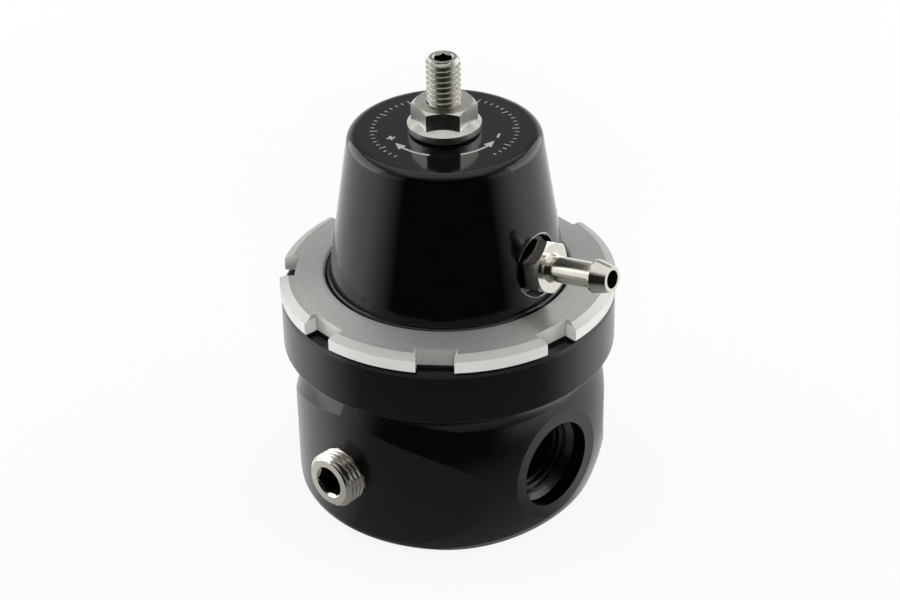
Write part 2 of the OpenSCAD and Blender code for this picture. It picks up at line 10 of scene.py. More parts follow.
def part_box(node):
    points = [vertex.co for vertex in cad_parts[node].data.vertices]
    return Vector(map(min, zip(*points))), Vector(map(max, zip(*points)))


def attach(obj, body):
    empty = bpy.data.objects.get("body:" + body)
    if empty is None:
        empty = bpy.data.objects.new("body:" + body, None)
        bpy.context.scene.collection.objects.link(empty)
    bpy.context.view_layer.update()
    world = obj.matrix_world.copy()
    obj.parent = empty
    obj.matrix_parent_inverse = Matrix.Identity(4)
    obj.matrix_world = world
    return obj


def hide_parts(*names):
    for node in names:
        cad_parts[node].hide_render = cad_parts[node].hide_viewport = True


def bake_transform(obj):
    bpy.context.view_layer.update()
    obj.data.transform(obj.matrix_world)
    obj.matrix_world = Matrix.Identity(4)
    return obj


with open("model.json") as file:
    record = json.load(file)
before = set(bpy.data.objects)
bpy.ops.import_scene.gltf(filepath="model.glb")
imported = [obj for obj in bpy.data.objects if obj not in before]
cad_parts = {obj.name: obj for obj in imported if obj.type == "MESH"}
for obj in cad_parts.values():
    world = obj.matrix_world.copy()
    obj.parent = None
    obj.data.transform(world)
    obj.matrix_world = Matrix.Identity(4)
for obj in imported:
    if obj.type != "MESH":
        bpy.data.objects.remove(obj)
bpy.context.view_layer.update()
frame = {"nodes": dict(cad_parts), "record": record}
nodes = frame["nodes"]
mounts = {mount["name"]: mount for mount in frame["record"]["mounts"]}
mm = 0.001
fullTurn = 2 * math.pi
up = Vector((0, 0, 1))
sharpAngle = 35  # degrees; edges that turn more than this stay crisp

# The view in degrees and millimetres; the cap's marks and the studio are set out from its azimuth
viewSpec = {
    "azimuth": 43.5, "elevation": 31.22, "roll": -1.288, "distance": 428.1, "target": 38.0,
    "focal": 95.45, "sensor": 36.0, "shift": (0.0020, -0.0101), "clip": (0.01, 20),
}


# Small tools

def fromHex(code):  # an sRGB hex colour as linear RGBA
    channels = [int(code[i:i + 2], 16) / 255 for i in (1, 3, 5)]
    return tuple(c / 12.92 if c <= 0.04045 else ((c + 0.055) / 1.055) ** 2.4 for c in channels) + (1.0,)


def perMetre(size):  # pattern scale for a feature of this many millimetres
    return 1 / (size * mm)


def addNode(tree, kind, values=None, links=None, **settings):  # sockets by name, or number if names repeat
    node = tree.nodes.new("ShaderNode" + kind)
    for name, setting in settings.items():
        setattr(node, name, setting)
    for socket, value in (values or {}).items():
        node.inputs[socket].default_value = value
    for socket, source in (links or {}).items():
        tree.links.new(source, node.inputs[socket])
    return node


def newFinish(name, values):
    finish = bpy.data.materials.new(name)
    finish.use_nodes = True
    tree = finish.node_tree
    shader = tree.nodes["Principled BSDF"]
    for socket, value in values.items():
        shader.inputs[socket].default_value = value
    return finish, tree, shader


def emptyFinish(name):
    finish = bpy.data.materials.new(name)
    finish.use_nodes = True
    finish.node_tree.nodes.clear()
    return finish, finish.node_tree


def newPiece(name, mesh, finish):
    bmesh.ops.recalc_face_normals(mesh, faces=mesh.faces[:])
    data = bpy.data.meshes.new(name)
    mesh.to_mesh(data)
    mesh.free()
    data.shade_smooth()
    data.set_sharp_from_angle(angle=math.radians(sharpAngle))
    data.materials.append(finish)
    piece = bpy.data.objects.new(name, data)
    bpy.context.scene.collection.objects.link(piece)
    return piece


def evenAngles(count):
    return [fullTurn * i / count for i in range(count)]


def polar(radius, angle, height):
    return radius * math.cos(angle), radius * math.sin(angle), height


def ringLoop(mesh, points):
    return [mesh.verts.new(point) for point in points]


def joinLoops(mesh, first, second):
    count = len(first)
    for i in range(count):
        j = (i + 1) % count
        mesh.faces.new((first[i], first[j], second[j], second[i]))


def facing(azimuth, elevation):  # unit vector towards a place round the object, in degrees
    a, e = math.radians(azimuth), math.radians(elevation)
    return Vector((math.sin(a) * math.cos(e), -math.cos(a) * math.cos(e), math.sin(e)))


# Finishes: pattern sizes and depths are in millimetres

def patternLook(tree, shader, look, shade, gloss, relief):
    # One pattern shades the colour, one varies the gloss and one raises the fine relief
    colour = addNode(tree, "ValToRGB", links={"Fac": shade})
    colour.color_ramp.elements[0].color = fromHex(look["dark"])
    colour.color_ramp.elements[1].color = fromHex(look["light"])
    low, high = look["roughness"]
    rough = addNode(tree, "MapRange", {"To Min": low, "To Max": high}, {"Value": gloss})
    bump = addNode(tree, "Bump", {"Strength": look["bump"], "Distance": look["depth"] * mm},
                   {"Height": relief})
    tree.links.new(colour.outputs["Color"], shader.inputs["Base Color"])
    tree.links.new(rough.outputs["Result"], shader.inputs["Roughness"])
    tree.links.new(bump.outputs["Normal"], shader.inputs["Normal"])
    return colour.outputs["Color"]


def latheWays(tree, place):  # distance from the valve axis, and the way that the tool runs in and up
    parts = addNode(tree, "SeparateXYZ", links={"Vector": place})
    flat = addNode(tree, "CombineXYZ", links={"X": parts.outputs["X"], "Y": parts.outputs["Y"]})
    radius = addNode(tree, "VectorMath", links={"Vector": flat.outputs["Vector"]}, operation="LENGTH")
    along = addNode(tree, "Math", links={0: radius.outputs["Value"], 1: parts.outputs["Z"]},
                    operation="ADD")
    return radius.outputs["Value"], along.outputs["Value"]


anodisedLook = {
    "light": "#040404", "dark": "#010101", "roughness": (0.20, 0.26), "ior": 1.5,
    "mottle": 2.5, "mottleDetail": 4.0, "turning": 0.16, "turningDetail": 2.0, "depth": 0.0012, "bump": 0.35,
}
polishedLook = {**anodisedLook, "roughness": (0.09, 0.14)}  # the cap mirrors the room more sharply
portShadeLook = {**anodisedLook, "roughness": (0.26, 0.34), "ior": 1.36}  # rougher from the tap; its low IOR is painted shade that dims the threads inside the port


def blackAnodised(name, look):
    # Black anodised aluminium, turned and then dyed: nearly no colour of its own, a clean satin
    # gloss, and rings left by the lathe that show only where a light grazes them
    finish, tree, shader = newFinish(name, {"IOR": look["ior"]})
    place = addNode(tree, "TexCoord").outputs["Object"]
    along = latheWays(tree, place)[1]
    mottle = addNode(tree, "TexNoise", {"Scale": perMetre(look["mottle"]), "Detail": look["mottleDetail"]},
                     {"Vector": place})
    rings = addNode(tree, "TexNoise", {"Scale": perMetre(look["turning"]), "Detail": look["turningDetail"]},
                    {"W": along}, noise_dimensions="1D")
    patternLook(tree, shader, look, mottle.outputs["Fac"], mottle.outputs["Fac"], rings.outputs["Fac"])
    return finish


# The cutter's grain is finer than the picture can hold, so it is drawn at the size given here.
# rim, bevel and face are told apart by how far they face up; notches by their distance from the axis
ringLook = {
    "light": "#e6e7e3", "dark": "#a8a9a5", "roughness": (0.42, 0.5), "streak": 0.75, "across": 0.25,
    "band": 0.9, "bandDetail": 6.0, "grain": 0.35, "grainDetail": 5.0, "grainShare": 0.6,
    "turning": 0.11, "turningDetail": 2.0, "depth": 0.003, "bump": 0.3,
    "rim": "#d5d5d1", "rimMetal": 0.44, "rimBelow": 0.25, "bevelMetal": 0.86, "bevelFrom": 0.45,
    "bevelTo": 0.96, "faceFrom": 0.99, "notchMetal": 0.76, "notchWithin": 27.4, "notchEnd": 28.2,
}


def turnedAluminium(name, look):
    # Turned aluminium, clear anodised: a satin silver face whose fine lathe rings draw the
    # reflections out into spokes, and a duller, whiter rim where the cutter has frosted it
    finish, tree, shader = newFinish(name, {"Anisotropic": look["streak"],
                                            "Anisotropic Rotation": look["across"]})
    place = addNode(tree, "TexCoord").outputs["Object"]
    radius, along = latheWays(tree, place)
    bands = addNode(tree, "TexNoise", {"Scale": perMetre(look["band"]), "Detail": look["bandDetail"]},
                    {"W": along}, noise_dimensions="1D")
    grain = addNode(tree, "TexNoise", {"Scale": perMetre(look["grain"]), "Detail": look["grainDetail"]},
                    {"Vector": place})
    worn = addNode(tree, "Mix", {0: look["grainShare"]}, {2: bands.outputs["Fac"], 3: grain.outputs["Fac"]})
    rings = addNode(tree, "TexNoise", {"Scale": perMetre(look["turning"]), "Detail": look["turningDetail"]},
                    {"W": along}, noise_dimensions="1D")
    silver = patternLook(tree, shader, look, worn.outputs[0], bands.outputs["Fac"], rings.outputs["Fac"])
    normal = addNode(tree, "NewGeometry").outputs["True Normal"]
    upwards = addNode(tree, "SeparateXYZ", links={"Vector": normal}).outputs["Z"]
    face = addNode(tree, "MapRange", {"From Min": look["bevelTo"], "From Max": look["faceFrom"]},
                   {"Value": upwards})
    bevel = addNode(tree, "MapRange", {"From Min": look["rimBelow"], "From Max": look["bevelFrom"],
                                       "To Min": look["rimMetal"], "To Max": look["bevelMetal"]},
                    {"Value": upwards})
    notch = addNode(tree, "MapRange", {"From Min": look["notchWithin"] * mm,
                                       "From Max": look["notchEnd"] * mm,
                                       "To Min": look["notchMetal"], "To Max": 0.0}, {"Value": radius})
    cut = addNode(tree, "Math", links={0: face.outputs["Result"], 1: notch.outputs["Result"]},
                  operation="MAXIMUM")
    metal = addNode(tree, "Math", links={0: cut.outputs["Value"], 1: bevel.outputs["Result"]},
                    operation="MAXIMUM")
    frosted = addNode(tree, "Mix", {6: fromHex(look["rim"])}, {0: cut.outputs["Value"], 7: silver},
                      data_type="RGBA")
    tangent = addNode(tree, "Tangent", direction_type="RADIAL", axis="Z")
    tree.links.new(metal.outputs["Value"], shader.inputs["Metallic"])
    tree.links.new(frosted.outputs[2], shader.inputs["Base Color"])
    tree.links.new(tangent.outputs["Tangent"], shader.inputs["Tangent"])
    return finish


brightLook = {"patchDetail": 5.0, "rippleDetail": 3.0, "bump": 0.3}
# Bright nickel: a warm mirror, a little clouded
nickelLook = {**brightLook, "light": "#e8e4da", "dark": "#d2cec3", "roughness": (0.09, 0.2),
              "patch": 1.6, "ripple": 0.35, "depth": 0.006}
# Zinc-nickel plate on steel: greyer and softer, and duller still on a rolled thread
steelLook = {**brightLook, "light": "#d9d8d2", "dark": "#bfbdb6", "roughness": (0.24, 0.34),
             "patch": 1.2, "ripple": 0.2, "depth": 0.005}
screwLook = {**steelLook, "light": "#c8c6bd", "dark": "#a9a79e", "roughness": (0.26, 0.38)}
# Painted shade for the inside of a socket: a dark, dull steel colour that stands in for the shade down in
# the recess
socketShadeLook = {**brightLook, "light": "#4a4741", "dark": "#2f2c28", "roughness": (0.4, 0.55),
              "patch": 1.0, "ripple": 0.2, "depth": 0.004}
# Burnished aluminium under black dye: a dark line that catches the light
edgeLook = {**brightLook, "light": "#a2a29f", "dark": "#757572", "roughness": (0.08, 0.16),
            "patch": 1.4, "ripple": 0.3, "depth": 0.004}
# Turned aluminium, bare: pale grey with a soft shine
plateLook = {**brightLook, "light": "#c4c5c6", "dark": "#a6a8aa", "roughness": (0.3, 0.42),
             "patch": 1.0, "ripple": 0.12, "depth": 0.004}
# Ground and polished steel: a clean mirror
ballLook = {**brightLook, "light": "#dcdcdc", "dark": "#cfcfcf", "roughness": (0.04, 0.08),
            "patch": 2.0, "ripple": 0.5, "depth": 0.001}
# Turned brass: yellow, with a soft shine
brassLook = {**brightLook, "light": "#d8b469", "dark": "#b88f47", "roughness": (0.18, 0.3),
             "patch": 1.0, "ripple": 0.15, "depth": 0.004}
# Drawn and oiled spring steel: dark grey, with a dull gloss
springLook = {**brightLook, "light": "#7d8084", "dark": "#55585c", "roughness": (0.28, 0.42),
              "patch": 0.8, "ripple": 0.15, "depth": 0.005}


def brightMetal(name, look):
    # Plated or ground metal: a mirror that is a little uneven, clouded in patches by handling
    finish, tree, shader = newFinish(name, {"Metallic": 1.0})
    place = addNode(tree, "TexCoord").outputs["Object"]
    patches = addNode(tree, "TexNoise", {"Scale": perMetre(look["patch"]), "Detail": look["patchDetail"]},
                      {"Vector": place})
    ripple = addNode(tree, "TexNoise", {"Scale": perMetre(look["ripple"]), "Detail": look["rippleDetail"]},
                     {"Vector": place})
    patternLook(tree, shader, look, patches.outputs["Fac"], patches.outputs["Fac"], ripple.outputs["Fac"])
    return finish


mattLook = {"ior": 1.5, "grainDetail": 4.0, "bump": 0.5}
# Rubber on cloth: nearly black, with the cloth's weave just showing
diaphragmLook = {**mattLook, "light": "#353230", "dark": "#262422", "roughness": (0.6, 0.75),
                 "grain": 0.5, "depth": 0.03}
# Moulded rubber: black and smooth, with a faint sheen
oRingLook = {**mattLook, "light": "#2a2725", "dark": "#1d1b1a", "roughness": (0.4, 0.55),
             "grain": 0.3, "depth": 0.006}
# Skived PTFE: waxy white
ptfeLook = {**mattLook, "light": "#efece4", "dark": "#e0dcd2", "roughness": (0.4, 0.5),
            "grain": 0.4, "depth": 0.008}
# Laser-etched anodising: dry pale grey; the laser's spots are finer and are drawn coarser to show
etchLook = {**mattLook, "light": "#d5d7d4", "dark": "#a9aca9", "roughness": (0.55, 0.7),
            "grain": 0.12, "depth": 0.004}


def mattSurface(name, look):
    # Rubber, skived plastic or a laser-etched mark: dull, with a fine grain
    finish, tree, shader = newFinish(name, {"IOR": look["ior"]})
    place = addNode(tree, "TexCoord").outputs["Object"]
    grain = addNode(tree, "TexNoise", {"Scale": perMetre(look["grain"]), "Detail": look["grainDetail"]},
                    {"Vector": place}).outputs["Fac"]
    patternLook(tree, shader, look, grain, grain, grain)
    return finish


bodyFinish = blackAnodised("black anodised aluminium, satin", anodisedLook)
capFinish = blackAnodised("black anodised aluminium, polished", polishedLook)
# the port threads reflect less, as painted shade inside the ports
portShadeFinish = blackAnodised("black anodised aluminium, tapped, painted shade", portShadeLook)
ringFinish = turnedAluminium("turned aluminium, clear anodised", ringLook)
nickelFinish = brightMetal("bright nickel on brass", nickelLook)
steelFinish = brightMetal("plated steel", steelLook)
screwFinish = brightMetal("plated steel, rolled thread", screwLook)
# dark steel colour for the painted shade inside the hexagon sockets
socketShadeFinish = brightMetal("dark steel, painted socket shade", socketShadeLook)
edgeFinish = brightMetal("burnished aluminium, dyed black", edgeLook)
plateFinish = brightMetal("turned aluminium, bare", plateLook)
ballFinish = brightMetal("ground ball steel", ballLook)
brassFinish = brightMetal("turned brass", brassLook)
springFinish = brightMetal("drawn spring steel", springLook)
diaphragmFinish = mattSurface("fabric-backed rubber", diaphragmLook)
oRingFinish = mattSurface("moulded rubber", oRingLook)
ptfeFinish = mattSurface("skived PTFE", ptfeLook)
etchFinish = mattSurface("laser-etched anodising", etchLook)

nodeFinishes = {
    "body": bodyFinish, "cap": capFinish, "lock_ring": ringFinish, "slip_ring": ptfeFinish,
    "hose_barb": nickelFinish, "gauge_plug": nickelFinish, "adjuster_screw": screwFinish,
    "lock_nut": steelFinish, "nut_seal": ptfeFinish, "diaphragm": diaphragmFinish,
    "upper_plate": plateFinish, "lower_plate": plateFinish, "stem_nut": steelFinish,
    "valve_ball": ballFinish, "ball_retainer": brassFinish, "valve_seat": brassFinish,
    "seat_o_ring": oRingFinish, "main_spring": springFinish, "spring_top_seat": plateFinish,
    "pivot_ball": ballFinish,
}
for name, finish in nodeFinishes.items():
    data = nodes[name].data
    data.materials.clear()
    data.materials.append(finish)
print("finishes: %d nodes dressed" % len(nodeFinishes))


# Threaded studs: the adjuster screw and the gauge plug, each with a hexagon socket

def hexRadius(flats, angle):  # from the centre to the side of a hexagon, with a corner at angle 0
    return flats / 2 / math.cos(angle % (math.pi / 3) - math.pi / 6)


def threadRise(spec, depth, angle):  # 0 at a root and 1 at a crest, with flats and straight flanks
    wave = abs(2 * ((-depth / spec["pitch"] - angle / fullTurn) % 1.0) - 1)
    slope = (wave - spec["rootFlat"]) / (1 - spec["rootFlat"] - spec["crestFlat"])
    return min(max(slope, 0), 1)


def threadedStud(name, spec, finish):  # its outer face is at z = 0, and +Z points out of it
    mesh = bmesh.new()
    angles = evenAngles(spec["around"])
    rows = round(spec["length"] / spec["pitch"] * spec["rowsPerTurn"])
    loops = []
    for row in range(rows + 1):
        depth = spec["length"] * row / rows
        fromEnd = min(depth / spec["bevelLength"], (spec["length"] - depth) / spec["bevelLength"], 1)
        crest = spec["radius"] - depth * spec["taper"]
        limit = crest - spec["bevel"] * (1 - fromEnd)
        radii = [min(crest - spec["threadHeight"] * (1 - threadRise(spec, depth, a)), limit) for a in angles]
        loops.append(ringLoop(mesh, [polar(r, a, -depth) for r, a in zip(radii, angles)]))
    for first, second in zip(loops, loops[1:]):
        joinLoops(mesh, first, second)
    mesh.faces.new(loops[-1])
    # The socket: a turned lead-in, six sides and a flat floor
    sides = [hexRadius(spec["socketFlats"], a) for a in angles]
    mouth = spec["socketFlats"] / 2 + spec["sink"]
    lead = ringLoop(mesh, [polar(mouth, a, 0) for a in angles])
    edge = ringLoop(mesh, [polar(r, a, r - mouth) for r, a in zip(sides, angles)])
    joinLoops(mesh, loops[0], lead)
    joinLoops(mesh, lead, edge)
    outsideFaces = set(mesh.faces)
    bottom = ringLoop(mesh, [polar(r, a, -spec["socketDepth"]) for r, a in zip(sides, angles)])
    joinLoops(mesh, edge, bottom)
    mesh.faces.new(bottom)
    for face in set(mesh.faces) - outsideFaces:  # painted shade: the socket's walls and floor take a dark steel colour for the shade inside it
        face.material_index = 1
    mesh.transform(Matrix.Scale(mm, 4))
    stud = newPiece(name, mesh, finish)
    stud.data.materials.append(socketShadeFinish)
    return stud


def placeFace(piece, at, outwards, turn):  # sets the face at a point and its +Z along a direction
    piece.matrix_world = (Matrix.Translation(at) @ outwards.to_track_quat("Z", "Y").to_matrix().to_4x4()
                          @ Matrix.Rotation(math.radians(turn), 4, "Z"))


screwLow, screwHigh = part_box("adjuster_screw")
screwSpec = {
    "radius": screwHigh.x / mm, "length": (screwHigh.z - screwLow.z) / mm, "taper": 0, "pitch": 1.0,
    "threadHeight": 0.56, "crestFlat": 0.16, "rootFlat": 0.12, "bevel": 0.6, "bevelLength": 0.7,
    "socketFlats": 3.0, "socketDepth": 3.5, "sink": 0.35, "turn": 12, "around": 72, "rowsPerTurn": 14,
}
screw = threadedStud("adjusterThread", screwSpec, screwFinish)
placeFace(screw, up * screwHigh.z, up, screwSpec["turn"])
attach(screw, "adjuster")
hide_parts("adjuster_screw")

plugLow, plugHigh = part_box("gauge_plug")
plugSpec = {
    "radius": (plugHigh.x - plugLow.x) / 2 / mm, "length": (plugHigh.y - plugLow.y) / mm, "taper": 1 / 32,
    "pitch": 0.94, "threadHeight": 0.5, "crestFlat": 0.22, "rootFlat": 0.12, "bevel": 0.8,
    "bevelLength": 0.8, "socketFlats": 5.0, "socketDepth": 4.5, "sink": 0.5, "turn": 10, "around": 96,
    "rowsPerTurn": 14,
}
plug = threadedStud("gaugePlugThread", plugSpec, nickelFinish)
placeFace(plug, Vector((0, plugLow.y, (plugLow.z + plugHigh.z) / 2)), Vector((0, -1, 0)), plugSpec["turn"])
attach(plug, "housing")
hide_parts("gauge_plug")
print("studs: screw and plug threaded")


# Threads cut in the three fuel ports

portSpec = {
    "pitch": 1.411, "threadHeight": 0.72, "crestFlat": 0.14, "rootFlat": 0.14, "clear": 0.01,
    "backing": 0.06, "mouthBevel": 0.8, "turns": 3, "turn": 0, "around": 120, "rowsPerTurn": 16,
}


def portThread(name, mount):
    mesh = bmesh.new()
    bore = mount["dims"]["r_mm"]
    length = portSpec["turns"] * portSpec["pitch"]
    angles = evenAngles(portSpec["around"])
    rows = portSpec["turns"] * portSpec["rowsPerTurn"]
    loops = []
    for row in range(rows + 1):
        depth = length * row / rows
        ends = min(depth / portSpec["mouthBevel"], (length - depth) / portSpec["mouthBevel"], 1)
        heights = [portSpec["threadHeight"] * min(threadRise(portSpec, depth, a), ends) for a in angles]
        loops.append(ringLoop(mesh, [polar(bore - portSpec["clear"] - height, a, -depth)
                                     for height, a in zip(heights, angles)]))
    for depth in (length, 0):  # the back of the thread, just inside the metal
        loops.append(ringLoop(mesh, [polar(bore + portSpec["backing"], a, -depth) for a in angles]))
    for first, second in zip(loops, loops[1:] + loops[:1]):
        joinLoops(mesh, first, second)
    mesh.transform(Matrix.Scale(mm, 4))
    piece = newPiece(name, mesh, portShadeFinish)
    placeFace(piece, Vector(mount["pos_m"]), Vector(mount["axis"]), portSpec["turn"])
    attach(piece, "housing")


for port in ("inlet_port", "outlet_port", "return_port"):
    portThread(port.replace("_port", "Thread"), mounts[port])
print("ports: three threads cut")


# The main spring, coiled between its seats

springSpec = {"wire": 2.4, "turns": 5.5, "closedTurns": 1, "coilGap": 0.05, "sides": 16, "stepsPerTurn": 48}


def springCoil():
    mesh = bmesh.new()
    low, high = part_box("main_spring")
    half = springSpec["wire"] / 2
    turns, closed = springSpec["turns"], springSpec["closedTurns"]
    openTurns = turns - 2 * closed
    radius = high.x / mm - half
    closedPitch = 2 * half + springSpec["coilGap"]
    openPitch = ((high.z - low.z) / mm - 2 * half - 2 * closed * closedPitch) / openTurns
    section = evenAngles(springSpec["sides"])
    loops = []
    for step in range(round(turns * springSpec["stepsPerTurn"]) + 1):
        done = step / springSpec["stepsPerTurn"]
        z = half + closedPitch * (min(done, closed) + max(done - turns + closed, 0))
        z += openPitch * min(max(done - closed, 0), openTurns)
        wire = [(radius + half * math.cos(b), z + half * math.sin(b)) for b in section]
        loops.append(ringLoop(mesh, [polar(r, fullTurn * done, height) for r, height in wire]))
    for first, second in zip(loops, loops[1:]):
        joinLoops(mesh, first, second)
    mesh.faces.new(loops[0])
    mesh.faces.new(loops[-1])
    mesh.transform(Matrix.Translation(up * low.z) @ Matrix.Scale(mm, 4))
    coil = newPiece("springCoil", mesh, springFinish)
    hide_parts("main_spring")
    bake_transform(coil)


springCoil()
print("spring: coiled between its seats")


# The edge of the barb's pocket in the cap, burnished to a narrow round

pocketSpec = {"radius": 5.62, "bead": 0.2, "proud": 0.06, "clear": 0.02, "around": 96, "sides": 10}


def pocketEdge():
    mesh = bmesh.new()
    barb = mounts["vacuum_barb"]
    tip, outwards = Vector(barb["pos_m"]), Vector(barb["axis"]).normalized()
    across = outwards.cross(up).normalized()
    rising = across.cross(outwards)
    surface = BVHTree.FromObject(nodes["cap"], bpy.context.evaluated_depsgraph_get())
    radius = (pocketSpec["radius"] + pocketSpec["clear"]) * mm
    bead, sunk = pocketSpec["bead"] * mm, (pocketSpec["bead"] - pocketSpec["proud"]) * mm
    centres = []
    for a in evenAngles(pocketSpec["around"]):
        start = tip + (across * math.cos(a) + rising * math.sin(a)) * radius
        point, normal = surface.ray_cast(start, -outwards)[:2]
        centres.append(point - normal * sunk)
    loops = []
    for before, centre, after in zip(centres[-1:] + centres[:-1], centres, centres[1:] + centres[:1]):
        forwards = (after - before).normalized()
        side = forwards.cross(outwards).normalized()
        lift = side.cross(forwards)
        loops.append(ringLoop(mesh, [centre + (side * math.cos(t) + lift * math.sin(t)) * bead
                                     for t in evenAngles(pocketSpec["sides"])]))
    for first, second in zip(loops, loops[1:] + loops[:1]):
        joinLoops(mesh, first, second)
    piece = newPiece("pocketEdge", mesh, edgeFinish)
    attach(piece, "housing")


pocketEdge()
print("cap: pocket edge rounded")


# Etched marks on the cap: a plain turning scale, and arrows for more and less pressure

scaleSpec = {"radius": 12.9, "count": 60, "every": 5, "short": 0.7, "long": 1.3, "width": 0.16,
             "gap": (-40, 40), "lift": 0.012, "sink": 0.03}
arrowSpec = {"radius": 9.6, "width": 0.42, "from": 16, "to": 62, "head": 1.7, "headLength": 13, "steps": 14,
             "signAt": 74, "signSize": 1.5, "signWidth": 0.4}


def addPlate(mesh, outline, low, high):  # a thin flat plate from its outline, in millimetres
    bottom = ringLoop(mesh, [(x, y, low) for x, y in outline])
    top = ringLoop(mesh, [(x, y, high) for x, y in outline])
    joinLoops(mesh, bottom, top)
    mesh.faces.new(top)
    mesh.faces.new(bottom[::-1])


def onCircle(radius, angle):  # 0 is the front of the cap, and angles run to its right
    direction = facing(viewSpec["azimuth"] + angle, 0)
    return radius * direction.x, radius * direction.y


def turnedBox(radius, angle, along, across):  # corners of a rectangle on the circle, square to the radius
    out = facing(viewSpec["azimuth"] + angle, 0).xy
    side = Vector((-out.y, out.x))
    corners = ((-1, -1), (1, -1), (1, 1), (-1, 1))
    return [tuple(out * (radius + i * along / 2) + side * (j * across / 2)) for i, j in corners]


def addArrow(mesh, side, low, high):
    radius, half, head = arrowSpec["radius"], arrowSpec["width"] / 2, arrowSpec["head"] / 2
    start, neck = arrowSpec["from"], arrowSpec["to"] - arrowSpec["headLength"]
    shaft = [start + (neck - start) * i / arrowSpec["steps"] for i in range(arrowSpec["steps"] + 1)]
    outline = [onCircle(radius - half, side * angle) for angle in shaft]
    outline += [onCircle(radius - head, side * neck), onCircle(radius, side * arrowSpec["to"]),
                onCircle(radius + head, side * neck)]
    outline += [onCircle(radius + half, side * angle) for angle in reversed(shaft)]
    addPlate(mesh, outline, low, high)


def addSign(mesh, side, low, high):
    radius, size, width = arrowSpec["radius"], arrowSpec["signSize"], arrowSpec["signWidth"]
    angle = side * arrowSpec["signAt"]
    addPlate(mesh, turnedBox(radius, angle, width, size), low, high)
    if side < 0:  # turning the screw in, to the left here, gives more pressure
        for end in (-1, 1):
            middle = radius + end * (size + width) / 4
            addPlate(mesh, turnedBox(middle, angle, (size - width) / 2, width), low, high)


def etchedScale():
    mesh = bmesh.new()
    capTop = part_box("cap")[1].z / mm
    low, high = capTop - scaleSpec["sink"], capTop + scaleSpec["lift"]
    start, end = scaleSpec["gap"]
    for i in range(scaleSpec["count"]):
        angle = 360 * i / scaleSpec["count"] - 180
        if start < angle < end:
            continue
        length = scaleSpec["long"] if i % scaleSpec["every"] == 0 else scaleSpec["short"]
        middle = scaleSpec["radius"] - length / 2
        addPlate(mesh, turnedBox(middle, angle, length, scaleSpec["width"]), low, high)
    for side in (-1, 1):
        addArrow(mesh, side, low, high)
        addSign(mesh, side, low, high)
    mesh.transform(Matrix.Scale(mm, 4))
    piece = newPiece("etchedScale", mesh, etchFinish)
    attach(piece, "housing")


etchedScale()
print("cap: scale etched")


# Studio, in metres: pale floor, light walls on both sides, and in front a glowing card that paints a dim
# floor and a dark room into the object's gloss

def mirrorRays(tree, path):  # 1 where a mirror or glass ray meets the surface
    mirrored = addNode(tree, "Math", links={0: path.outputs["Is Glossy Ray"],
                                            1: path.outputs["Is Transmission Ray"]}, operation="MAXIMUM")
    return mirrored.outputs["Value"]


floorSpec = {"size": 4.0, "colour": "#f1f1ef", "glow": 0.87, "whiteFrom": 0.12, "whiteAt": 0.27}


def paleFloor():
    # Matt white paper: it takes the object's shadow, and goes to plain white further out
    mesh = bmesh.new()
    half = floorSpec["size"] / 2
    mesh.faces.new(ringLoop(mesh, [(-half, -half, 0), (half, -half, 0), (half, half, 0), (-half, half, 0)]))
    finish, tree = emptyFinish("white sweep paper")
    paper = addNode(tree, "BsdfDiffuse", {"Color": fromHex(floorSpec["colour"])})
    white = addNode(tree, "Emission", {"Strength": 1.0})
    place = addNode(tree, "TexCoord").outputs["Object"]
    reach = addNode(tree, "VectorMath", links={"Vector": place}, operation="LENGTH")
    glow = addNode(tree, "MapRange", {"From Min": floorSpec["whiteFrom"], "From Max": floorSpec["whiteAt"],
                                      "To Min": floorSpec["glow"], "To Max": 1.0},
                   {"Value": reach.outputs["Value"]})
    path = addNode(tree, "LightPath")
    seen = addNode(tree, "Math", links={0: path.outputs["Is Camera Ray"], 1: mirrorRays(tree, path)},
                   operation="MAXIMUM")
    share = addNode(tree, "Math", links={0: seen.outputs["Value"], 1: glow.outputs["Result"]},
                    operation="MULTIPLY")
    mixed = addNode(tree, "MixShader", links={0: share.outputs["Value"], 1: paper.outputs["BSDF"],
                                              2: white.outputs["Emission"]})
    addNode(tree, "OutputMaterial", links={"Surface": mixed.outputs["Shader"]})
    newPiece("floor", mesh, finish)


cardSpec = {
    "near": 0.018, "wideAt": 0.075, "far": 0.42, "lift": 0.001, "nearHalf": 62, "floorHalf": 90,
    "standHalf": 68, "soft": 26, "high": 44, "steps": 24, "nearGlow": 0.28, "farGlow": 0.01, "fade": 0.15,
}


def cardHalf(reach):  # half of the card's spread in degrees, at this distance from the object's axis
    if reach < cardSpec["wideAt"]:
        share = (reach - cardSpec["near"]) / (cardSpec["wideAt"] - cardSpec["near"])
        return cardSpec["nearHalf"] + (cardSpec["floorHalf"] - cardSpec["nearHalf"]) * share
    share = (reach - cardSpec["wideAt"]) / (cardSpec["far"] - cardSpec["wideAt"])
    return cardSpec["floorHalf"] + (cardSpec["standHalf"] - cardSpec["floorHalf"]) * share


